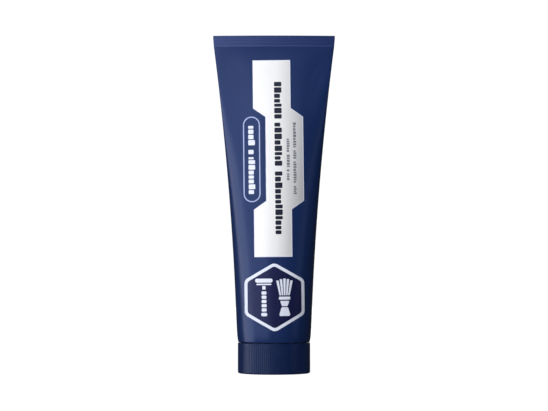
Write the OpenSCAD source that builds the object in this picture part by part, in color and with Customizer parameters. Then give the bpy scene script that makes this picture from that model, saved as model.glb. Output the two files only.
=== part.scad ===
// Shaving cream tube that stands on its screw cap, filled and sealed.
// +Z up. The origin is the middle of the cap's closed end, which the tube stands on.
// The flat seal runs along X, and the printed front faces -Y.

/* [Sleeve] */
// Diameter of the sleeve where it is still round
sleeve_d = 37.2; // [30:0.1:45]
// How much narrower the sleeve is where it turns in over the shoulder
sleeve_turn_in = 1.2; // [0:0.1:2]
// Width of the sleeve at the lower edge of the seal
sleeve_w = 60.8; // [45:0.1:75]
// Height of the sleeve from the shoulder to the seal
sleeve_h = 148.8; // [100:0.1:200]
// Thickness of the sleeve's wall
sleeve_wall = 0.45; // [0.3:0.05:0.8]
// Share of the widening that comes late, near the seal
late_widening = 0.62; // [0.3:0.01:0.9]
// How full the sleeve is: its depth falls with this power of the height
fullness = 1.65; // [1.3:0.05:2.2]

/* [Seal] */
// Height of the flat seal
seal_h = 5.6; // [3:0.1:10]
// How much wider the seal is at its cut edge
seal_flare = 0.7; // [0:0.1:2]

/* [Shoulder and neck] */
// Drop of the shoulder's cone from the sleeve to the neck
shoulder_drop = 2.4; // [1:0.1:4]
// Thickness of the shoulder's cone
shoulder_t = 1.2; // [0.8:0.1:2]
// Height of the ring that holds the sleeve
shoulder_ring_h = 3; // [2:0.1:6]
// Thickness of the ring that holds the sleeve
shoulder_ring_t = 0.8; // [0.5:0.1:1.5]
// Diameter of the neck under its thread
neck_d = 14.2; // [12:0.1:18]
// Bore of the neck
neck_bore = 11; // [8:0.1:11.5]
// Diameter of the opening that the cream comes out of
orifice_d = 7; // [4:0.1:7.5]
// Thickness of the web round the opening
orifice_web = 1.2; // [0.6:0.1:2]

/* [Thread] */
// Rise of the thread in one turn
thread_pitch = 3; // [2.4:0.1:4]
// Depth of the thread
thread_depth = 0.9; // [0.6:0.05:1.1]
// Plain length of the neck at its mouth
thread_lead = 1; // [0.5:0.1:2]
// Plain length of the neck under the shoulder
thread_runout = 4; // [3:0.1:5]

/* [Inside] */
// Thickness of the barrier disc that lines the shoulder
barrier_t = 0.5; // [0.3:0.05:0.8]
// Thickness of the foil over the mouth
foil_t = 0.12; // [0.05:0.01:0.3]
// Free height over the cream, under the seal
headspace = 30; // [2:1:45]

/* [Cap] */
// How much wider the cap is over its ribs than the sleeve's turned-in end
cap_step = 0.4; // [0:0.1:1.5]
// Height of the cap
cap_h = 15.3; // [12.5:0.1:24]
// Thickness of the cap's outer wall under the ribs
cap_wall = 1.2; // [0.8:0.1:2]
// Thickness of the cap's closed end
cap_floor = 1.6; // [1:0.1:2.5]
// Radius of the cap's lower edge
cap_edge_r = 0.9; // [0.3:0.1:1.5]
// Number of grip ribs
rib_count = 108; // [72:4:120]
// Depth of the grip ribs
rib_depth = 0.25; // [0.1:0.05:0.4]
// Wall of the threaded socket inside the cap
socket_wall = 1.3; // [0.8:0.1:2]
// Number of webs between the socket and the outer wall
web_count = 4; // [4:4:8]
// Thickness of a web
web_t = 0.8; // [0.5:0.1:1.5]
// Thickness of the sealing disc in the cap
liner_t = 1; // [0.5:0.1:1.5]
// Depth of the dished face that the cap stands around
dish_depth = 0.3; // [0.1:0.1:0.6]
// Width of the ring that the cap stands on
stand_w = 3; // [2:0.5:6]

/* [Fits] */
// Gap between the sleeve and the closed cap
seam_gap = 0.3; // [0.2:0.05:0.6]
// Gap between the two threads, and round the neck
thread_gap = 0.25; // [0.15:0.05:0.4]
// Gap round the sealing disc
liner_gap = 0.25; // [0.1:0.05:0.5]
// Gap between pieces that are moulded or welded together
bond_gap = 0.1; // [0.05:0.01:0.2]
// Gap between the socket's rim and the shoulder
socket_gap = 0.8; // [0.4:0.1:2]

/* [Hidden] */

$fn = 96;
ring_sides = 48;     // corners of each section of the sleeve
sleeve_rings = 18;   // sections between the shoulder and the seal
turn_in_h = 3;       // height over which the turned-in end opens out
crease = 0.5;        // how much sharper the sides get towards the seal
slab_edge = 0.2;     // how square the seal's sides are, from 0, square, to 1, oval
pinch = 2;           // how much thicker the wall gets at the sides, near the seal
slit_t = 0.1;        // thickness of the space where the two walls meet
thread_sides = 40;   // steps of the thread in one turn
join_depth = 0.3;    // how far threads, webs and the socket run into what they stand on
thread_slope = 0.5;  // half the difference between a thread's root and crest
thread_fade = 30;    // angle over which a thread starts and ends
neck_edge = 0.3;     // bevel of the mouth's edge
rim_bevel = 0.2;     // bevel of the ribs at the cap's rim
rib_top = 0.36;      // half the width of a rib's top, as a share of the ribs' spacing
rib_foot = 0.44;     // half the width of its foot, as the same share
rib_clear = 0.05;    // how far the trimming body stands off the ribs
gate_d = 2;          // moulding point in the middle of the cap's dish
gate_depth = 0.3;

// Thickness of the seal, both walls pressed together
seal_t = 2 * sleeve_wall + slit_t;

// Heights
sleeve_z = cap_h + seam_gap;
seal_z = sleeve_z + sleeve_h;
top_z = seal_z + seal_h;
foil_z = cap_floor + liner_t;
mouth_z = foil_z + 2 * foil_t;
root_z = sleeve_z - shoulder_drop;
fill_z = seal_z - headspace;
cream_z = sleeve_z + shoulder_ring_h;

// Diameter of the cap over its ribs, near flush with the sleeve
cap_d = sleeve_d - sleeve_turn_in + cap_step;

// Radii of the neck, the shoulder and the cap
neck_r = neck_d / 2;
bore_r = neck_bore / 2;
shoulder_r = (sleeve_d - sleeve_turn_in) / 2 - sleeve_wall - bond_gap;
shoulder_flat_r = shoulder_r - 1.6;
shoulder_in_r = shoulder_r - shoulder_ring_t;
socket_in_r = neck_r + thread_depth + thread_gap;
socket_r = socket_in_r + socket_wall;
skirt_r = cap_d / 2 - rib_depth;
skirt_in_r = skirt_r - cap_wall;
dish_r = cap_d / 2 - stand_w;

// Shoulder's cone, inside and outside, as height over radius
cone_rise = shoulder_drop / (shoulder_flat_r - neck_r);
cone_in_z = root_z + shoulder_t;
function cone_in(r) = cone_in_z + cone_rise * (r - neck_r);

// Threads
ridge_mid = thread_pitch / 2 - thread_gap;
neck_thread_z = mouth_z + thread_lead + ridge_mid / 2 + thread_slope / 2;
neck_turns = (root_z - thread_runout - neck_thread_z) / thread_pitch;
cap_thread_z = neck_thread_z + thread_pitch / 2;
socket_z = root_z - socket_gap;
cap_turns = neck_turns - 0.5;

// Width of the sleeve at a height over its lower end
function turned_in(h) = sleeve_turn_in * exp(-h / turn_in_h);
function sleeve_width(h) =
    let (s = min(h / sleeve_h, 1))
    sleeve_d + (sleeve_w - sleeve_d) * s * (1 - late_widening + late_widening * s)
    - turned_in(h);

// How far the contents bulge the sleeve, front to back, over the seal's thickness
function sleeve_bulge(h) =
    let (s = min(h / sleeve_h, 1))
    (sleeve_d - seal_t) * (1 - pow(s, fullness)) - turned_in(h) * (1 - s);

// One closed section: round at s = 0, a flat slab with an oval bulge above that
function section(width, flat_t, bulge, s, z) = [
    for (i = [0 : ring_sides - 1])
        let (
            a = 360 * i / ring_sides,
            side = abs(sin(a)),
            slab = flat_t / 2 * pow(side, 1 - (1 - slab_edge) * pow(s, 4)),
            oval = bulge / 2 * pow(side, 1 + crease * s * s)
        )
        [width / 2 * cos(a), sign(sin(a)) * (slab + oval), z]
];

// Section at a height over the sleeve's lower end, inset from its outer face
function sleeve_section(h, inset) =
    let (s = h / sleeve_h)
    section(
        sleeve_width(h) - 2 * inset * (1 + pinch * s * s),
        max(seal_t - 2 * inset, 0),
        sleeve_bulge(h),
        s,
        sleeve_z + h
    );

function seal_section(width, z) = section(width, seal_t, 0, 1, z);

// Solid through a list of sections that have the same number of corners
module skin(rings) {
    n = len(rings[0]);
    last = len(rings) - 1;
    points = [for (ring = rings) each ring];
    sides = [
        for (k = [0 : last - 1])
            for (i = [0 : n - 1])
                [k * n + i, k * n + (i + 1) % n, (k + 1) * n + (i + 1) % n, (k + 1) * n + i]
    ];
    first_end = [for (i = [n - 1 : -1 : 0]) i];
    last_end = [for (i = [0 : n - 1]) last * n + i];
    polyhedron(points, concat([first_end], sides, [last_end]), convexity = 6);
}

// Right-hand thread: a ridge round a wall of radius r, standing out by depth,
// or inwards where depth is negative
module thread(r, depth, z, turns) {
    steps = ceil(turns * thread_sides);
    inward = depth < 0 ? -1 : 1;
    root = ridge_mid / 2 + thread_slope / 2;
    crest = ridge_mid / 2 - thread_slope / 2;
    skin([
        for (i = [0 : steps])
            let (
                a = 360 * turns * i / steps,
                fade = min(1, (a + 8) / thread_fade, (360 * turns - a + 8) / thread_fade),
                in_r = r - inward * join_depth,
                out_r = r + depth * fade,
                zc = z + thread_pitch * turns * i / steps
            )
            [
                for (p = [[in_r, -root], [out_r, -crest], [out_r, crest], [in_r, root]])
                    [p[0] * cos(a), p[0] * sin(a), zc + inward * p[1]]
            ]
    ]);
}

// Laminate sleeve, open at the shoulder and pressed flat at the seal
module tube_sleeve() {
    heights = concat(
        [0, turn_in_h / 2, turn_in_h],
        [for (i = [1 : sleeve_rings]) sleeve_h * i / sleeve_rings]
    );
    last = len(heights) - 1;
    top_w = sleeve_w + seal_flare;
    color("midnightblue")
        skin(concat(
            [
                seal_section(top_w, top_z),
                seal_section(top_w, top_z - seal_h / 4),
                seal_section(sleeve_w, seal_z)
            ],
            [for (i = [last - 1 : -1 : 0]) sleeve_section(heights[i], 0)],
            [for (h = heights) sleeve_section(h, sleeve_wall)]
        ));
}

// Shoulder with the threaded neck, moulded onto the sleeve's end
module tube_head() {
    color("white")
        union() {
            rotate_extrude()
                polygon([
                    [orifice_d / 2, mouth_z],
                    [neck_r - neck_edge, mouth_z],
                    [neck_r, mouth_z + neck_edge],
                    [neck_r, root_z],
                    [shoulder_flat_r, sleeve_z],
                    [shoulder_r, sleeve_z],
                    [shoulder_r, cream_z],
                    [shoulder_in_r, cream_z],
                    [shoulder_in_r, cone_in(shoulder_in_r)],
                    [bore_r, cone_in(bore_r)],
                    [bore_r, mouth_z + orifice_web],
                    [orifice_d / 2, mouth_z + orifice_web]
                ]);
            thread(neck_r, thread_depth, neck_thread_z, neck_turns);
        }
}

// Thin barrier cone on the shoulder's inner face
module barrier_insert() {
    in_r = bore_r + bond_gap;
    out_r = shoulder_in_r - bond_gap;
    color("gainsboro")
        rotate_extrude()
            polygon([
                [in_r, cone_in(in_r)],
                [out_r, cone_in(out_r)],
                [out_r, cone_in(out_r) + barrier_t],
                [in_r, cone_in(in_r) + barrier_t]
            ]);
}

// Foil over the mouth, with half of it doubled as a tab to lift
module orifice_seal() {
    foil_r = neck_r - neck_edge;
    color("silver")
        union() {
            translate([0, 0, foil_z + foil_t])
                cylinder(r = foil_r, h = foil_t);
            translate([0, 0, foil_z])
                intersection() {
                    cylinder(r = foil_r, h = foil_t);
                    translate([-foil_r, 0, 0])
                        cube([2 * foil_r, foil_r, foil_t]);
                }
        }
}

// Cream that fills the neck, the shoulder and the sleeve up to the headspace
module cream_fill() {
    fill_h = fill_z - sleeve_z;
    start_h = shoulder_ring_h + bond_gap;
    steps = sleeve_rings - 2;
    plug_r = bore_r - bond_gap;
    disc_r = shoulder_in_r - bond_gap;
    above_insert = barrier_t + bond_gap;
    color("ghostwhite")
        union() {
            skin([
                for (i = [steps : -1 : 0])
                    let (h = start_h + (fill_h - start_h) * i / steps)
                    sleeve_section(h, sleeve_wall + bond_gap)
            ]);
            rotate_extrude()
                polygon([
                    [0, mouth_z + bond_gap],
                    [orifice_d / 2 - bond_gap, mouth_z + bond_gap],
                    [orifice_d / 2 - bond_gap, mouth_z + orifice_web + bond_gap],
                    [plug_r, mouth_z + orifice_web + bond_gap],
                    [plug_r, cone_in(bore_r) + above_insert],
                    [disc_r, cone_in(disc_r) + above_insert],
                    [disc_r, cream_z + 3 * bond_gap],
                    [0, cream_z + 3 * bond_gap]
                ]);
        }
}

// Cap's outline with its grip ribs
module ribbed_outline() {
    step = 360 / rib_count;
    polygon([
        for (i = [0 : rib_count - 1])
            for (p = [[-rib_foot, 0], [-rib_top, 1], [rib_top, 1], [rib_foot, 0]])
                let (a = (i + p[0]) * step, r = skirt_r + p[1] * rib_depth)
                [r * cos(a), r * sin(a)]
    ]);
}

// Round body that trims the ribs' ends: a rounded lower edge and a bevelled rim
module cap_envelope() {
    r = cap_d / 2 + rib_clear;
    rotate_extrude()
        polygon(concat(
            [[0, 0]],
            [
                for (a = [0 : 15 : 90])
                    [r - cap_edge_r * (1 - sin(a)), cap_edge_r * (1 - cos(a))]
            ],
            [[r, cap_h - rim_bevel], [r - rim_bevel, cap_h], [0, cap_h]]
        ));
}

// Flat ring between two radii, from z upwards
module ring(out_r, in_r, z, h) {
    translate([0, 0, z])
        difference() {
            cylinder(r = out_r, h = h);
            translate([0, 0, -1])
                cylinder(r = in_r, h = h + 2);
        }
}

// Stand-up cap: ribbed outer wall, closed end, threaded socket and webs
module screw_cap() {
    inner_z = cap_floor - join_depth;
    web_h = (socket_z - inner_z) / 2;
    web_start = socket_r - socket_wall / 2;
    web_end = skirt_in_r + cap_wall / 2;
    color("midnightblue")
        union() {
            difference() {
                intersection() {
                    linear_extrude(cap_h)
                        ribbed_outline();
                    cap_envelope();
                }
                translate([0, 0, cap_floor])
                    cylinder(r = skirt_in_r, h = cap_h);
                translate([0, 0, -1])
                    cylinder(r = dish_r, h = 1 + dish_depth);
                cylinder(d = gate_d, h = dish_depth + gate_depth);
            }
            ring(socket_r, socket_in_r, inner_z, socket_z - inner_z);
            for (i = [0 : web_count - 1])
                rotate(45 + i * 360 / web_count)
                    translate([web_start, -web_t / 2, inner_z])
                        cube([web_end - web_start, web_t, web_h]);
            thread(socket_in_r, -thread_depth, cap_thread_z, cap_turns);
        }
}

// Sealing disc that the mouth closes against
module cap_liner() {
    color("white")
        translate([0, 0, cap_floor])
            cylinder(r = socket_in_r - liner_gap, h = liner_t);
}

tube_sleeve();
tube_head();
barrier_insert();
orifice_seal();
cream_fill();
screw_cap();
cap_liner();
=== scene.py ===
"""Looks of the shaving cream tube: the laminate sleeve with its print, the cap and the pieces inside.

Lengths are in millimetres and are turned into metres where a mesh, a light or the camera is made.
The flat seal runs along X and the printed front faces -Y.
"""

import math
import random

import bmesh
import bpy
import numpy as np
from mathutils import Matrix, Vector


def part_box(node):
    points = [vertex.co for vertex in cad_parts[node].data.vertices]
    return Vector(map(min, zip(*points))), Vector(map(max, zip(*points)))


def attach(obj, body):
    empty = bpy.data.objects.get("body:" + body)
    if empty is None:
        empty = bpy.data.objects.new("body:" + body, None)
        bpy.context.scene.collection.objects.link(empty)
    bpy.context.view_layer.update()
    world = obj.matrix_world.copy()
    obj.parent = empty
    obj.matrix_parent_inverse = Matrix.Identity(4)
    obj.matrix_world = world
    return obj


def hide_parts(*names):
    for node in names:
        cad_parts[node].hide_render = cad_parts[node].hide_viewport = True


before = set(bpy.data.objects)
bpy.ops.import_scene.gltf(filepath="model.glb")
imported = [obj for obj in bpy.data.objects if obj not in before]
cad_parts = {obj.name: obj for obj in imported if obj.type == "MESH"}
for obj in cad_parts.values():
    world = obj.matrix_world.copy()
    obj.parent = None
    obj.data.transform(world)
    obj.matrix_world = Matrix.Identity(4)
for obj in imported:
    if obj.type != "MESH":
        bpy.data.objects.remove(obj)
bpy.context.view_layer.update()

MM = 0.001


def node_box(node):
    """Lowest and highest corner of a CAD node, in millimetres."""
    low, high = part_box(node)
    return low / MM, high / MM


# ---------------------------------------------------------------- sizes

sleeve_low, sleeve_high = node_box("tube_sleeve")

SEAL_H = 5.6                # height of the flat seal
SEAL_T = 1.0                # thickness of the seal
SLEEVE_WALL = 0.45          # thickness of the laminate
SLEEVE_D = 37.2             # diameter where the sleeve is round
SLEEVE_W = 60.8             # width at the lower edge of the seal
TURN_IN = 1.2               # how much narrower the lower end is
TURN_IN_H = 3.0             # height over which it opens out again
LATE_WIDENING = 0.62        # share of the widening that comes late
FULLNESS = 1.65             # the depth falls with this power of the height
CREASE = 0.5                # how much sharper the sides get towards the seal
SLAB_EDGE = 0.2             # how square the seal's sides are
PINCH = 2.0                 # how much thicker the wall gets at the sides
BOW, BOW_FROM = 1.5, 0.8    # how far the flat end bows forward, and from which share of the height

SLEEVE_Z = sleeve_low.z
TOP_Z = sleeve_high.z
TOP_W = sleeve_high.x - sleeve_low.x
SEAL_Z = TOP_Z - SEAL_H
SLEEVE_H = SEAL_Z - SLEEVE_Z

# Details on the sleeve's faces
STEP_OUT, STEP_H = 0.28, 0.3          # step where the pressed seal ends: how far out, and half its height
STEP_UP, STEP_FADE = 0.35, 7.0        # its middle over the seal's lower edge, and how far down it fades
CRIMP_PITCH, CRIMP_OUT = 0.85, 0.035  # fine ridges that the seal bars leave
LIP_R = 0.2                           # rounding of the sleeve's lower edge
CUT_R = 0.32                          # rounding of the cut edge at the top
CRIMP_FROM, CRIMP_TO = 1.3, 0.5       # the ridges' distance from the seal's lower and upper edge
CRIMP_EDGE = 0.3                      # height over which the ridges fade out
HOLLOW, HOLLOW_W = 0.65, 0.2          # soft hollows under the seal's corners: depth, share of the width
HOLLOW_U, HOLLOW_OUT = 0.7, 0.1       # their middle, as a share of the half width, and its drift out
HOLLOW_FROM, HOLLOW_GROW = 0.62, 0.3  # shares of the height: where they start, and how long they deepen
HOLLOW_END = 0.09                     # share of height over which they fade out under the seal
CROWN, CROWN_W = 0.2, 0.45            # the middle stands proud between them
WAVE = 0.05                           # height of the slow waves of a filled laminate
OVERLAP_W, OVERLAP_OUT = 1.7, 0.09    # lengthways seam at the back
OVERLAP_EDGE, OVERLAP_FADE = 0.12, 1.5  # how soft its step is, and how it ends at the seal

# Print
PRINT_TURN = math.radians(0.62)       # the print sits slightly turned on the tube
PRINT_PIVOT_Z = 100.0
INK_UP, INK_T = 0.035, 0.05           # how far ink stands proud, and its sheet's thickness
LINE_UP, OVERPRINT_UP = 0.05, 0.075   # the badge's line, and ink that lies on other ink


# ---------------------------------------------------------------- camera

CAMERA_D = 1100.0
CAMERA_Z = 60.0
AIM_Z = 84.3
SENSOR_W = 36.0
LENS = 143.4


def make_camera():
    data = bpy.data.cameras.new("camera")
    data.sensor_width = SENSOR_W
    data.lens = LENS
    data.clip_start, data.clip_end = 0.01, 50
    camera = bpy.data.objects.new("camera", data)
    bpy.context.scene.collection.objects.link(camera)
    place, aim = Vector((0, -CAMERA_D, CAMERA_Z)), Vector((0, 0, AIM_Z))
    camera.location = place * MM
    camera.rotation_euler = (aim - place).to_track_quat("-Z", "Y").to_euler()
    bpy.context.scene.camera = camera


make_camera()


# ---------------------------------------------------------------- the sleeve's form


def width(h):
    """Width of the sleeve at a height over its lower end."""
    s = np.clip(h / SLEEVE_H, 0, 1)
    flare = (TOP_W - SLEEVE_W) * np.clip((h - SLEEVE_H) / (0.75 * SEAL_H), 0, 1)
    grown = (SLEEVE_W - SLEEVE_D) * s * (1 - LATE_WIDENING + LATE_WIDENING * s)
    return SLEEVE_D + grown - TURN_IN * np.exp(-h / TURN_IN_H) + flare


def bulge(h):
    """How far the cream bulges the sleeve from front to back, over the seal's thickness."""
    s = np.clip(h / SLEEVE_H, 0, 1)
    turned_in = TURN_IN * np.exp(-h / TURN_IN_H) * (1 - s)
    return (SLEEVE_D - SEAL_T) * (1 - s**FULLNESS) - turned_in


def eased(t):
    """0 up to t = 0, 1 from t = 1, and a smooth S between them."""
    t = np.clip(t, 0, 1)
    return t * t * (3 - 2 * t)


def relief(x, h, q, back):
    """What stands out of or sinks into the smooth form. q is 1 at the middle and 0 at the sides."""
    over = h - SLEEVE_H
    flat = np.clip(q * 4, 0, 1)
    step = STEP_OUT * np.clip((STEP_UP + STEP_H - over) / (2 * STEP_H), 0, 1) * flat
    step *= np.exp(np.minimum(over, 0) / STEP_FADE)
    in_seal = np.clip((over - CRIMP_FROM) / CRIMP_EDGE, 0, 1)
    in_seal *= np.clip((SEAL_H - CRIMP_TO - over) / CRIMP_EDGE, 0, 1)
    crimp = CRIMP_OUT * np.cos(2 * math.pi * over / CRIMP_PITCH) * in_seal * flat
    # The hollows run down from the seal's corners, where the flat end turns into the round body
    u = 2 * x / width(h)
    s = np.clip(h / SLEEVE_H, 0, 1)
    reach = eased((s - HOLLOW_FROM) / HOLLOW_GROW) * eased((1 - s) / HOLLOW_END)
    middle = HOLLOW_U + HOLLOW_OUT * np.clip((s - 0.85) / 0.1, 0, 1)
    hollow = -HOLLOW * np.exp(-(((np.abs(u) - middle) / HOLLOW_W) ** 2)) * reach
    crown = CROWN * np.exp(-((u / CROWN_W) ** 2)) * reach
    below_seal = np.clip(over / -20, 0, 1)
    wave = WAVE * np.sin(h / 9.0 + 2.1 * u) * np.sin(h / 23.0 - 1.3 * u) * below_seal * flat
    seam = 0.0
    if back:
        over_seam = np.clip((OVERLAP_W / 2 - np.abs(x)) / OVERLAP_EDGE + 0.5, 0, 1)
        seam = OVERLAP_OUT * over_seam * np.clip(-over / OVERLAP_FADE, 0, 1)
    return step + crimp + hollow + crown + wave + seam


def bow(x, h):
    """How far the flat end, above the cream, stands forward of the middle plane."""
    s = np.clip(h / SLEEVE_H, 0, 1)
    grown = np.clip((s - BOW_FROM) / (1 - BOW_FROM), 0, 1) ** 2
    return BOW * grown * (1 - (2 * x / TOP_W) ** 2)


def half_depth(x, h, back=False, inset=0.0):
    """Distance of the sleeve's face from the middle plane, at x and at height h over its lower end."""
    x, h = np.broadcast_arrays(np.asarray(x, float), np.asarray(h, float))
    s = np.clip(h / SLEEVE_H, 0, 1)
    w = width(h) - 2 * inset * (1 + PINCH * s * s)
    q = np.sqrt(np.clip(1 - (2 * x / w) ** 2, 0, 1))
    slab = max(SEAL_T - 2 * inset, 0.1) / 2 * q ** (1 - (1 - SLAB_EDGE) * s**4)
    oval = bulge(h) / 2 * q ** (1 + CREASE * s * s)
    extra = relief(x, h, q, back) if inset == 0 else 0
    return slab + oval + extra * np.clip(q * 3, 0, 1)


# ---------------------------------------------------------------- mesh helpers


def add_object(name, mesh, material, body, smooth_angle=None):
    obj = bpy.data.objects.new(name, mesh)
    bpy.context.scene.collection.objects.link(obj)
    mesh.materials.append(material)
    if smooth_angle is not None:
        mesh.shade_smooth()
        mesh.set_sharp_from_angle(angle=math.radians(smooth_angle))
    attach(obj, body)
    return obj


def mesh_of(name, points, faces):
    mesh = bpy.data.meshes.new(name)
    mesh.from_pydata([tuple(float(c) * MM for c in p) for p in points], [], faces)
    mesh.validate()
    return mesh


def wall_faces(rings, n):
    """Quads between rings of n points each, one after the other."""
    faces = []
    for k in range(rings - 1):
        for i in range(n):
            j = (i + 1) % n
            faces.append((k * n + i, k * n + j, (k + 1) * n + j, (k + 1) * n + i))
    return faces


# ---------------------------------------------------------------- materials


class Look:
    """A material with one Principled shader, and helpers that add pattern nodes to it."""

    def __init__(self, name, colour, **sockets):
        self.material = bpy.data.materials.new(name)
        self.material.use_nodes = True
        self.tree = self.material.node_tree
        self.shader = self.tree.nodes["Principled BSDF"]
        self.shader.inputs["Base Color"].default_value = (*colour, 1)
        for socket, value in sockets.items():
            title = socket.replace("_", " ").title().replace("Ior", "IOR")
            self.shader.inputs[title].default_value = value
        self.place = self.tree.nodes.new("ShaderNodeTexCoord").outputs["Object"]

    def link(self, source, target):
        self.tree.links.new(source, target)

    def stretched(self, x, y, z):
        """The piece's own coordinates, scaled along each axis."""
        node = self.tree.nodes.new("ShaderNodeMapping")
        node.inputs["Scale"].default_value = (x, y, z)
        self.link(self.place, node.inputs["Vector"])
        return node.outputs["Vector"]

    def noise(self, scale, detail=2.0, rough=0.5, vector=None):
        node = self.tree.nodes.new("ShaderNodeTexNoise")
        node.inputs["Scale"].default_value = scale
        node.inputs["Detail"].default_value = detail
        node.inputs["Roughness"].default_value = rough
        self.link(vector or self.place, node.inputs["Vector"])
        return node.outputs["Fac"]

    def cells(self, scale):
        node = self.tree.nodes.new("ShaderNodeTexVoronoi")
        node.inputs["Scale"].default_value = scale
        self.link(self.place, node.inputs["Vector"])
        return node.outputs["Distance"]

    def axis(self, name):
        node = self.tree.nodes.new("ShaderNodeSeparateXYZ")
        self.link(self.place, node.inputs["Vector"])
        return node.outputs[name]

    def math(self, kind, a, b=0.0):
        node = self.tree.nodes.new("ShaderNodeMath")
        node.operation = kind
        for socket, value in zip(node.inputs, (a, b)):
            if isinstance(value, (int, float)):
                socket.default_value = value
            else:
                self.link(value, socket)
        return node.outputs[0]

    def spread(self, source, low, high, out_low, out_high):
        """source from low to high becomes out_low to out_high, held at the ends."""
        node = self.tree.nodes.new("ShaderNodeMapRange")
        for socket, value in zip(list(node.inputs)[1:5], (low, high, out_low, out_high)):
            socket.default_value = value
        self.link(source, node.inputs["Value"])
        return node.outputs["Result"]

    def ramp(self, source, stops):
        """Colours at places of source, one (place, (r, g, b)) for each stop."""
        node = self.tree.nodes.new("ShaderNodeValToRGB")
        elements = node.color_ramp.elements
        while len(elements) < len(stops):
            elements.new(0.5)
        for element, (place, colour) in zip(elements, stops):
            element.position = place
            element.color = (*colour, 1)
        self.link(source, node.inputs["Fac"])
        return node.outputs["Color"]

    def mix(self, factor, a, b):
        """Colour a where factor is 0, b where it is 1."""
        node = self.tree.nodes.new("ShaderNodeMix")
        node.data_type = "RGBA"
        self.link(factor, node.inputs[0])
        for socket, value in zip((node.inputs[6], node.inputs[7]), (a, b)):
            if isinstance(value, tuple):
                socket.default_value = (*value, 1)
            else:
                self.link(value, socket)
        return node.outputs[2]

    def colour_from(self, source):
        self.link(source, self.shader.inputs["Base Color"])

    def roughness_from(self, source):
        self.link(source, self.shader.inputs["Roughness"])

    def bumps(self, *layers):
        """Stacks bumps, each a (height source, depth in mm)."""
        normal = None
        for source, depth in layers:
            node = self.tree.nodes.new("ShaderNodeBump")
            node.inputs["Strength"].default_value = 1.0
            node.inputs["Distance"].default_value = depth * MM
            self.link(source, node.inputs["Height"])
            if normal:
                self.link(normal, node.inputs["Normal"])
            normal = node.outputs["Normal"]
        self.link(normal, self.shader.inputs["Normal"])


NAVY = (0.0082, 0.0235, 0.098)
NAVY_LIGHT = (0.0088, 0.025, 0.103)
SEAL_PAINTED_LIGHT_LEFT = (0.028, 0.046, 0.152)     # painted light: the seal is painted lighter than the body, as a gradient across it, lighter at the left, where the light from the left falls on it
SEAL_PAINTED_LIGHT_RIGHT = (0.0115, 0.027, 0.112)   # lighter at the left, which is a choice of look
PEARL_TINT = (0.5, 0.6, 1.0, 1)          # tints what the lacquer reflects a little blue


def navy_laminate():
    """Blue ink with a fine pearl under satin lacquer; the film has long faint ripples."""
    look = Look("navy_laminate", NAVY, specular_tint=PEARL_TINT)
    patches = look.noise(38, 3)
    flakes = look.noise(5200, 1)
    tone = look.mix(look.spread(patches, 0.35, 0.65, 0, 1), NAVY, NAVY_LIGHT)
    tone = look.mix(look.spread(flakes, 0.6, 0.78, 0, 0.1), tone, (0.03, 0.06, 0.19))
    # painted light: over the seal's band the colour runs from the light left tone to the darker right one
    pressed = look.spread(look.axis("Z"), (SEAL_Z - 0.2) * MM, (SEAL_Z + 0.6) * MM, 0, 1)
    across = look.spread(look.axis("X"), -10 * MM, 28 * MM, 0, 1)
    tone = look.mix(pressed, tone, look.mix(across, SEAL_PAINTED_LIGHT_LEFT, SEAL_PAINTED_LIGHT_RIGHT))
    look.colour_from(tone)
    look.roughness_from(look.spread(look.noise(60, 2), 0.2, 0.8, 0.25, 0.27))
    ripples = look.noise(42, 2, 0.4, look.stretched(1.0, 1.0, 0.35))
    look.bumps((ripples, 0.02), (look.noise(900, 3), 0.002))
    return look.material


CAP_TINT = (0.62, 0.72, 1.0, 1)          # the same for the bare plastic of the cap, weaker


def navy_cap():
    """Moulded polypropylene: matt, with a fine spark-eroded grain and faint flow lines."""
    look = Look("navy_cap", (0.007, 0.018, 0.076), specular_ior_level=0.36, specular_tint=CAP_TINT)
    flow = look.noise(90, 3, 0.5, look.stretched(1.0, 1.0, 0.3))
    streaks = look.spread(flow, 0.3, 0.7, 0, 1)
    look.colour_from(look.mix(streaks, (0.0065, 0.017, 0.071), (0.0078, 0.0195, 0.081)))
    look.roughness_from(look.spread(look.noise(600, 3), 0.3, 0.7, 0.27, 0.35))
    look.bumps((look.noise(1700, 2), 0.006), (look.noise(120, 2), 0.02))
    return look.material


def silver_print():
    """Pearl white to silver ink, greyer towards the right, partly as printed and partly as painted shade
    away from the light at the left.
    """
    coat = {"coat_weight": 0.2, "coat_roughness": 0.3}
    look = Look("silver_print", (0.86, 0.87, 0.9), metallic=0.1, **coat)
    place = look.spread(look.axis("X"), -11 * MM, 16 * MM, 0, 1)
    # the stops darken towards the right: partly the ink's own grey, partly painted shade
    stops = [
        (0.0, (0.9, 0.91, 0.94)),
        (0.45, (0.845, 0.85, 0.88)),
        (0.7, (0.675, 0.68, 0.705)),
        (1.0, (0.47, 0.48, 0.52)),
    ]
    tone = look.ramp(place, stops)
    flakes = look.noise(4200, 1)
    look.colour_from(look.mix(look.spread(flakes, 0.6, 0.8, 0, 0.3), tone, (1.0, 1.0, 1.0)))
    look.roughness_from(look.spread(look.noise(200, 3), 0.3, 0.7, 0.34, 0.44))
    look.bumps((look.noise(900, 3), 0.004))
    return look.material


def ink(name, colour, mottle, rough):
    """Flat ink with a slight mottle from the printing plate."""
    look = Look(name, colour, specular_tint=PEARL_TINT)
    dots = look.noise(2600, 2)
    look.colour_from(look.mix(look.spread(dots, 0.35, 0.7, 0, 1), colour, mottle))
    look.roughness_from(look.spread(look.noise(300, 3), 0.3, 0.7, rough, rough + 0.1))
    look.bumps((look.noise(1400, 2), 0.003))
    return look.material


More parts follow.
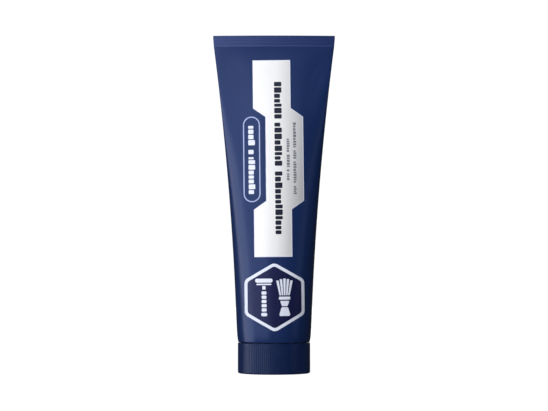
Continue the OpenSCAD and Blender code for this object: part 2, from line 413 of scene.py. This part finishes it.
def white_plastic():
    """Moulded polyethylene, slightly see-through at its thin edges."""
    look = Look("white_plastic", (0.82, 0.83, 0.82), subsurface_weight=0.25, subsurface_scale=1.2 * MM)
    look.shader.inputs["Subsurface Radius"].default_value = (1.0, 0.95, 0.85)
    look.colour_from(look.mix(look.noise(160, 3), (0.79, 0.80, 0.79), (0.86, 0.865, 0.855)))
    look.roughness_from(look.spread(look.noise(500, 3), 0.3, 0.7, 0.34, 0.46))
    look.bumps((look.noise(1500, 2), 0.005))
    return look.material


def barrier_plastic():
    """Pressed barrier laminate with faint marks that run round it."""
    look = Look("barrier_plastic", (0.62, 0.64, 0.66), metallic=0.35)
    marks = look.noise(420, 3, 0.6, look.stretched(1.0, 1.0, 6.0))
    look.colour_from(look.mix(marks, (0.55, 0.57, 0.6), (0.72, 0.73, 0.74)))
    look.roughness_from(look.spread(marks, 0.3, 0.7, 0.28, 0.44))
    look.bumps((marks, 0.01))
    return look.material


def foil():
    """Heat-sealed aluminium foil with small creases."""
    look = Look("foil", (0.78, 0.79, 0.8), metallic=1.0)
    creases = look.cells(420)
    look.colour_from(look.mix(look.noise(300, 3), (0.7, 0.71, 0.72), (0.86, 0.86, 0.87)))
    look.roughness_from(look.spread(look.noise(700, 3), 0.3, 0.7, 0.2, 0.36))
    look.bumps((creases, 0.05), (look.noise(1300, 2), 0.01))
    return look.material


def cream():
    """Smooth wet cream with soft swirls."""
    look = Look("cream", (0.9, 0.9, 0.87), subsurface_weight=0.4, subsurface_scale=2.0 * MM)
    look.colour_from(look.mix(look.noise(70, 3), (0.86, 0.86, 0.83), (0.93, 0.93, 0.91)))
    look.roughness_from(look.spread(look.noise(150, 3), 0.3, 0.7, 0.22, 0.36))
    look.bumps((look.noise(110, 2), 0.2))
    return look.material


def foam_liner():
    """Foamed polyethylene sheet with its small closed cells."""
    look = Look("foam_liner", (0.84, 0.84, 0.82), subsurface_weight=0.3, subsurface_scale=0.8 * MM)
    pores = look.cells(2600)
    look.colour_from(look.mix(look.spread(pores, 0.1, 0.6, 0, 1), (0.74, 0.74, 0.72), (0.87, 0.87, 0.85)))
    look.roughness_from(look.spread(pores, 0.1, 0.6, 0.5, 0.62))
    look.bumps((pores, 0.03))
    return look.material


LOOKS = {
    "navy_laminate": navy_laminate(),
    "navy_cap": navy_cap(),
    "silver_print": silver_print(),
    "white_print": ink("white_print", (0.79, 0.83, 0.96), (0.74, 0.78, 0.92), 0.38),
    "pale_line": ink("pale_line", (0.42, 0.49, 0.76), (0.37, 0.44, 0.7), 0.38),
    "dark_print": ink("dark_print", (0.010, 0.011, 0.020), (0.016, 0.017, 0.028), 0.4),
    "grey_print": ink("grey_print", (0.16, 0.16, 0.18), (0.22, 0.22, 0.24), 0.4),
    "badge_print": ink("badge_print", (0.006, 0.0085, 0.05), (0.0085, 0.01, 0.058), 0.3),
    "white_plastic": white_plastic(),
    "barrier_plastic": barrier_plastic(),
    "foil": foil(),
    "cream": cream(),
    "foam_liner": foam_liner(),
}

CARRIED_OVER = {
    "tube_head": "white_plastic",
    "barrier_insert": "barrier_plastic",
    "orifice_seal": "foil",
    "cream_fill": "cream",
    "cap_liner": "foam_liner",
    "screw_cap": "navy_cap",
}
for node, look_name in CARRIED_OVER.items():
    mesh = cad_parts[node].data
    mesh.materials.clear()
    mesh.materials.append(LOOKS[look_name])


# ---------------------------------------------------------------- the sleeve


def sleeve_angles():
    """Angles round the sleeve: even steps, with close ones at the back seam."""
    even = np.radians(np.arange(0, 360, 1.5))
    close = np.radians(90 + np.arange(-7, 7.01, 0.25))
    return np.unique(np.round(np.concatenate([even, close]), 5))


def ring(angles, h, z, inset=0.0, trim=0.0):
    """One closed ring of the wall. trim pulls the wall in towards the middle of its thickness."""
    s = min(max(h / SLEEVE_H, 0), 1)
    w = float(width(np.float64(h))) - 2 * inset * (1 + PINCH * s * s)
    x = w / 2 * np.cos(angles)
    side = np.sign(np.sin(angles))
    front = half_depth(x, np.full_like(x, h), False, inset)
    back = half_depth(x, np.full_like(x, h), True, inset)
    depth = np.where(side > 0, back, front)
    depth = np.where(np.abs(np.sin(angles)) < 1e-6, 0, depth)
    shrink_x = 1 - 2 * trim / w
    y = side * np.maximum(depth - trim * np.clip(np.abs(np.sin(angles)) * 3, 0, 1), 0)
    return np.stack([x * shrink_x, y - bow(x, h), np.full_like(x, z)], axis=1)


def make_sleeve():
    """The laminate wall as rings: up the outside from the lip to the cut edge, then the inside."""
    angles = sleeve_angles()
    n = len(angles)
    body = list(np.linspace(TURN_IN_H * 1.3, SLEEVE_H - 4, 96))
    near_seal = list(np.arange(SLEEVE_H - 3.6, SLEEVE_H + SEAL_H - CUT_R - 0.01, 0.14))
    rings = []
    for turn in (0.15, 0.5, 0.85):  # rounded lower lip, from inside to outside
        a = turn * math.pi / 2
        trim = LIP_R * (1 - math.sin(a))
        rings.append(ring(angles, 0.0, SLEEVE_Z + LIP_R * (1 - math.cos(a)), trim=trim))
    for h in [0.3, 0.7, 1.2, 1.8, 2.5, 3.2] + body + near_seal:
        rings.append(ring(angles, h, SLEEVE_Z + h))
    for turn in (0.15, 0.5, 0.9):  # rounded cut edge
        a = turn * math.pi / 2
        z = TOP_Z - CUT_R * (1 - math.sin(a))
        rings.append(ring(angles, SLEEVE_H + SEAL_H, z, trim=CUT_R * (1 - math.cos(a))))
    outer = len(rings)
    inner = []
    for h in [0.0, 1.5, 3.0] + list(np.linspace(6, SLEEVE_H, 48)):
        inner.append(ring(angles, h, SLEEVE_Z + max(h, 0.02), inset=SLEEVE_WALL))
    points = np.concatenate(rings + inner)
    faces = wall_faces(outer, n)
    first = outer * n
    faces += [tuple(first + corner for corner in reversed(face)) for face in wall_faces(len(inner), n)]
    for i in range(n):  # lip, from the inner wall to the outer one
        j = (i + 1) % n
        faces.append((first + i, first + j, j, i))
    faces.append(tuple((outer - 1) * n + i for i in range(n)))
    faces.append(tuple(first + (len(inner) - 1) * n + i for i in reversed(range(n))))
    mesh = mesh_of("laminate_sleeve", points, faces)
    sleeve = add_object("laminate_sleeve", mesh, LOOKS["navy_laminate"], "tube", 40)
    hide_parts("tube_sleeve")
    return sleeve


# ---------------------------------------------------------------- print


def turned(x, z):
    """Print coordinates, turned as the whole print is on the tube."""
    dz = z - PRINT_PIVOT_Z
    c, s = math.cos(PRINT_TURN), math.sin(PRINT_TURN)
    return x * c - dz * s, PRINT_PIVOT_Z + x * s + dz * c


def on_sleeve(points, up, back=False):
    """Places flat print points (x, z) on the sleeve's face, up millimetres proud of it."""
    x, z = np.array(points, float).T
    h = z - SLEEVE_Z
    e = 0.05

    def face(x, h):
        return half_depth(x, h, back) + (-bow(x, h) if back else bow(x, h))

    y = face(x, h)
    slope_x = (face(x + e, h) - face(x - e, h)) / (2 * e)
    slope_z = (face(x, h + e) - face(x, h - e)) / (2 * e)
    normal = np.stack([-slope_x, np.ones_like(x), -slope_z], axis=1)
    normal /= np.linalg.norm(normal, axis=1)[:, None]
    place = np.stack([x, y, z], axis=1) + up * normal
    if not back:
        place[:, 1] *= -1
    return place


def print_piece(name, shapes, look, up=INK_UP, back=False):
    """Ink on the sleeve. shapes are convex outlines in (x, z), which are cut into a grid that
    follows the sleeve's curve and given a thin sheet's thickness."""
    bm = bmesh.new()
    for shape in shapes:
        outline = [turned(x, z) for x, z in shape]
        if back:
            outline = [(-x, z) for x, z in outline]
        verts = [bm.verts.new((x, 0, z)) for x, z in outline]
        bm.faces.new(verts)
    bmesh.ops.recalc_face_normals(bm, faces=bm.faces)
    xs = [v.co.x for v in bm.verts]
    zs = [v.co.z for v in bm.verts]
    cuts = [((1, 0, 0), x) for x in np.arange(math.floor(min(xs)), max(xs), 0.8)]
    cuts += [((0, 0, 1), z) for z in np.arange(math.floor(min(zs)), max(zs), 2.5)]
    for normal, at in cuts:
        geometry = list(bm.verts) + list(bm.edges) + list(bm.faces)
        on_cut = Vector(normal) * at
        bmesh.ops.bisect_plane(bm, geom=geometry, dist=1e-5, plane_co=on_cut, plane_no=normal)
    bmesh.ops.remove_doubles(bm, verts=bm.verts, dist=1e-4)
    flat = [(v.co.x, v.co.z) for v in bm.verts]
    for v, p in zip(bm.verts, on_sleeve(flat, up, back)):
        v.co = Vector(p) * MM
    bm.normal_update()
    outward = 1 if back else -1
    for face in bm.faces:
        if face.normal.y * outward < 0:
            face.normal_flip()
        face.smooth = True
    for edge in bm.edges:
        edge.smooth = not edge.is_boundary
    mesh = bpy.data.meshes.new(name)
    bm.to_mesh(mesh)
    bm.free()
    obj = add_object(name, mesh, LOOKS[look], "tube")
    thicken = obj.modifiers.new("ink", "SOLIDIFY")
    thicken.thickness = INK_T * MM
    thicken.offset = -1
    return obj


def box_shape(x0, x1, z0, z1):
    return [(x0, z0), (x1, z0), (x1, z1), (x0, z1)]


def rounded(points, radius, steps=5):
    """A convex outline with its corners rounded by arcs."""
    out = []
    for i, here in enumerate(points):
        here = Vector(here)
        before, after = Vector(points[i - 1]) - here, Vector(points[(i + 1) % len(points)]) - here
        half = before.angle(after) / 2
        back_off = radius / math.tan(half)
        start = here + before.normalized() * back_off
        end = here + after.normalized() * back_off
        inwards = (before.normalized() + after.normalized()).normalized()
        middle = here + inwards * (radius / math.sin(half))
        a, b = start - middle, end - middle
        for k in range(steps + 1):
            t = k / steps
            across = a.lerp(b, t).normalized() * radius
            out.append(tuple(middle + across))
    return out


def block(x0, x1, z0, z1, radius=0.25):
    return rounded(box_shape(x0, x1, z0, z1), min(radius, (x1 - x0) * 0.45, (z1 - z0) * 0.45), 3)


def band(outer, inner):
    """Quads between two outlines that have the same number of points."""
    n = len(outer)
    return [[outer[i], outer[(i + 1) % n], inner[(i + 1) % n], inner[i]] for i in range(n)]


PANEL_W, PANEL_X = 18.9, -0.75   # front panel: its width, and the middle of its upper part
PANEL_SHIFT = 6.15               # how far its middle part steps to the right
PANEL_ROWS = [(157.4, 0), (133.0, 0), (128.6, 1), (86.35, 1), (82.05, 0), (58.4, 0)]
PANEL_EDGE = 0.3                 # width of the white line round the panel


def panel_outline(grow):
    """Left and right points of the panel's rows, grown outwards by grow."""
    left, right = [], []
    last = len(PANEL_ROWS) - 1
    for k, (z, stepped) in enumerate(PANEL_ROWS):
        middle = PANEL_X + stepped * PANEL_SHIFT
        z += grow if k == 0 else -grow if k == last else 0
        # On the stepped side the corner also moves along the chamfer
        lean = 0.35 * grow * (1 if k in (1, 2) else -1 if k in (3, 4) else 0)
        left.append((middle - PANEL_W / 2 - grow, z - lean))
        right.append((middle + PANEL_W / 2 + grow, z + lean))
    return left, right


def make_panel():
    left, right = panel_outline(-PANEL_EDGE)
    rows = range(len(left) - 1)
    shapes = [[left[k], left[k + 1], right[k + 1], right[k]] for k in rows]
    print_piece("front_panel", shapes, "silver_print")
    wide_left, wide_right = panel_outline(0)
    edge = band(wide_left + wide_right[::-1], left + right[::-1])
    print_piece("front_panel_edge", edge, "white_print")


def words(x, height, spans, gap, seed, letter=(0.45, 0.95)):
    """Plain blocks in the place of words that run up the tube, in spans of (low, high)."""
    rng = random.Random(seed)
    shapes = []
    for low, high in spans:
        z = low
        while z < high - 0.3 * height:
            long = min(height * rng.uniform(*letter), high - z)
            tall = height * rng.choice((1.0, 1.0, 0.8))
            shapes.append(block(x - height / 2, x - height / 2 + tall, z, z + long, 0.12 * height))
            z += long + gap
    return shapes


def make_front_words():
    title = words(2.3, 3.7, [(69.7, 101.4), (103.9, 125.6), (127.7, 147.2)], 0.5, 3, (0.42, 0.8))
    print_piece("front_title_blocks", title, "dark_print", up=OVERPRINT_UP)
    upper = [(96.6, 100.0), (101.0, 102.0), (103.2, 109.4), (110.8, 118.2)]
    lower = [(89.6, 94.0), (95.3, 106.0), (107.4, 111.6), (113.0, 125.7)]
    small = words(7.2, 1.5, upper, 0.3, 5) + words(10.5, 1.5, lower, 0.3, 8)
    print_piece("front_small_blocks", small, "grey_print", up=OVERPRINT_UP)


PILL_X, PILL_LOW, PILL_HIGH = -11.05, 85.8, 128.9
PILL_R, PILL_LINE = 4.25, 0.55


def stadium(radius, steps=14):
    """Outline with two straight sides and round ends, for the pill and its line."""
    points = []
    for k in range(steps + 1):
        a = math.pi * k / steps
        points.append((PILL_X + radius * math.cos(a), PILL_HIGH - PILL_R + radius * math.sin(a)))
    for k in range(steps + 1):
        a = math.pi + math.pi * k / steps
        points.append((PILL_X + radius * math.cos(a), PILL_LOW + PILL_R + radius * math.sin(a)))
    return points


def make_pill():
    line = band(stadium(PILL_R), stadium(PILL_R - PILL_LINE))
    print_piece("pill_line", line, "pale_line")
    spans = [(89.9, 108.4), (109.9, 113.0), (114.4, 124.8)]
    blocks = words(PILL_X, 3.3, spans, 0.45, 11, (0.42, 0.8))
    print_piece("pill_blocks", blocks, "white_print")


BADGE_X, BADGE_Z, BADGE_R = -0.4, 38.4, 17.2
BADGE_LINE = 1.5


def hexagon(radius, corner):
    points = []
    for k in range(6):
        a = math.radians(90 + 60 * k)
        points.append((BADGE_X + radius * math.cos(a), BADGE_Z + radius * math.sin(a)))
    return rounded(points, corner, 8)


def badge_shape(points, radius, steps=5):
    """A rounded outline given round the badge's middle."""
    return rounded([(BADGE_X + x, BADGE_Z + z) for x, z in points], radius, steps)


def badge_block(x0, x1, z0, z1, radius):
    return badge_shape(box_shape(x0, x1, z0, z1), radius)


def razor_mark(x):
    """Safety razor: head with its guard, collar, and a handle with grip rings."""
    shapes = [
        badge_block(x - 4.3, x + 4.3, 7.3, 9.3, 0.9),
        badge_block(x - 3.7, x + 3.7, 6.1, 6.8, 0.3),
        badge_block(x - 0.8, x + 0.8, 3.9, 5.7, 0.3),
    ]
    for k in range(5):
        low = 1.4 - 2.1 * k
        shapes.append(badge_block(x - 1.2, x + 1.2, low, low + 1.6, 0.4))
    shapes.append(badge_block(x - 1.5, x + 1.5, -9.3, -7.6, 0.75))
    return shapes


def brush_mark(x):
    """Shaving brush: fanned bristles, a band, and a waisted handle."""
    shapes = []
    for k in range(5):
        low, high = x + (k - 2) * 1.05, x + (k - 2) * 1.75
        tip = 9.3 - 0.35 * abs(k - 2) ** 1.5
        bristle = [(low - 0.38, 0.9), (low + 0.38, 0.9), (high + 0.62, tip), (high - 0.62, tip)]
        shapes.append(badge_shape(bristle, 0.25))
    shapes.append(badge_block(x - 2.8, x + 2.8, -1.2, 0.3, 0.4))
    shapes.append(badge_shape([(x - 1.4, -4.4), (x + 1.4, -4.4), (x + 2.3, -1.8), (x - 2.3, -1.8)], 0.35))
    shapes.append(badge_shape([(x - 2.9, -9.3), (x + 2.9, -9.3), (x + 1.6, -4.9), (x - 1.6, -4.9)], 0.7))
    return shapes


def make_badge():
    outer, inner = hexagon(BADGE_R, 3.2), hexagon(BADGE_R - BADGE_LINE * 1.1547, 2.2)
    print_piece("badge_line", band(outer, inner), "white_print", up=LINE_UP)
    print_piece("badge_field", [inner], "badge_print")
    marks = razor_mark(-5.2) + brush_mark(5.0)
    print_piece("badge_marks", marks, "white_print", up=OVERPRINT_UP)


def make_back_words():
    """Plain bars in the place of the small print, and the mark that the filling line reads."""
    shapes = [block(21.0, 26.5, 158.6, 161.6)]
    for k in range(8):
        spans = [(60.0, 84.0), (85.5, 112.0), (113.5, 136.0 - 7.0 * (k % 3))]
        shapes += words(-12.6 + 3.6 * k, 1.4, spans, 0.9, 20 + k, (2.2, 5.5))
    print_piece("back_bars", shapes, "white_print", back=True)


make_sleeve()
make_panel()
make_front_words()
make_pill()
make_badge()
make_back_words()


# ---------------------------------------------------------------- studio

DOME_R = 8.0


def make_floor():
    """A pale floor that stays out of the tube's reflections."""
    bm = bmesh.new()
    bmesh.ops.create_circle(bm, cap_ends=True, segments=96, radius=DOME_R)
    mesh = bpy.data.meshes.new("floor")
    bm.to_mesh(mesh)
    bm.free()
    floor = bpy.data.objects.new("floor", mesh)
    bpy.context.scene.collection.objects.link(floor)
    look = Look("floor", (0.22, 0.22, 0.22), roughness=0.9, specular_ior_level=0.0)
    x, y = look.axis("X"), look.axis("Y")
    far = look.math("SQRT", look.math("ADD", look.math("MULTIPLY", x, x), look.math("MULTIPLY", y, y)))
    glow = look.spread(far, 0.1, 0.6, 0.92, 1.02)
    look.shader.inputs["Emission Color"].default_value = (1, 1, 1, 1)
    look.link(glow, look.shader.inputs["Emission Strength"])
    mesh.materials.append(look.material)
    floor.visible_glossy = False
    floor.visible_diffuse = False


def make_backdrop():
    """A white dome far round the tube, which only the camera sees."""
    bm = bmesh.new()
    bmesh.ops.create_uvsphere(bm, u_segments=64, v_segments=32, radius=DOME_R)
    mesh = bpy.data.meshes.new("backdrop")
    bm.to_mesh(mesh)
    bm.free()
    mesh.shade_smooth()
    backdrop = bpy.data.objects.new("backdrop", mesh)
    bpy.context.scene.collection.objects.link(backdrop)
    look = Look("backdrop", (0, 0, 0), roughness=1.0, specular_ior_level=0.0)
    look.shader.inputs["Emission Color"].default_value = (1, 1, 1, 1)
    look.shader.inputs["Emission Strength"].default_value = 1.05
    mesh.materials.append(look.material)
    for ray in ("visible_diffuse", "visible_glossy", "visible_transmission", "visible_shadow"):
        setattr(backdrop, ray, False)


def softbox(name, azimuth, elevation, distance, wide, tall, power, glossy=True):
    """A soft light at a distance in metres, with its sides in metres and its power in watts.
    Azimuth 0 is at the camera's side, and it grows towards +X."""
    data = bpy.data.lights.new(name, "AREA")
    data.shape = "RECTANGLE"
    data.size, data.size_y = wide, tall
    data.energy = power
    light = bpy.data.objects.new(name, data)
    bpy.context.scene.collection.objects.link(light)
    a, e = math.radians(azimuth), math.radians(elevation)
    out = Vector((math.sin(a) * math.cos(e), -math.cos(a) * math.cos(e), math.sin(e)))
    middle = Vector((0, 0, 90 * MM))
    light.location = middle + out * distance
    light.rotation_euler = (-out).to_track_quat("-Z", "Y").to_euler()
    light.visible_camera = False
    light.visible_glossy = glossy


def make_lights():
    softbox("key_left", -87, 0, 1.0, 0.72, 0.9, 5.2)
    softbox("front_left", -42, 12, 0.45, 0.5, 0.56, 1.2)
    softbox("upper_left", -34, 42, 1.0, 0.85, 0.5, 1.9)
    softbox("upper_front", 10, 28, 1.0, 0.6, 0.25, 0.35)
    softbox("top", 0, 54, 0.9, 1.0, 0.2, 0.9)
    softbox("right", 68, 5, 1.0, 0.3, 0.6, 0.2)
    softbox("fill", 5, 12, 1.3, 1.4, 1.6, 11.5, glossy=False)
    softbox("back_fill", 180, 15, 1.3, 1.2, 1.4, 9.0, glossy=False)
    softbox("back_key", 180, 5, 1.3, 0.4, 0.9, 2.4)
    world = bpy.data.worlds.new("studio")
    bpy.context.scene.world = world
    world.use_nodes = True
    world.node_tree.nodes["Background"].inputs["Color"].default_value = (1, 1, 1, 1)
    world.node_tree.nodes["Background"].inputs["Strength"].default_value = 0.03


make_floor()
make_backdrop()
make_lights()

scene = bpy.context.scene
scene.view_settings.view_transform = "Standard"
scene.view_settings.look = "None"
scene.view_settings.exposure = 0.0
scene.view_settings.gamma = 1.0
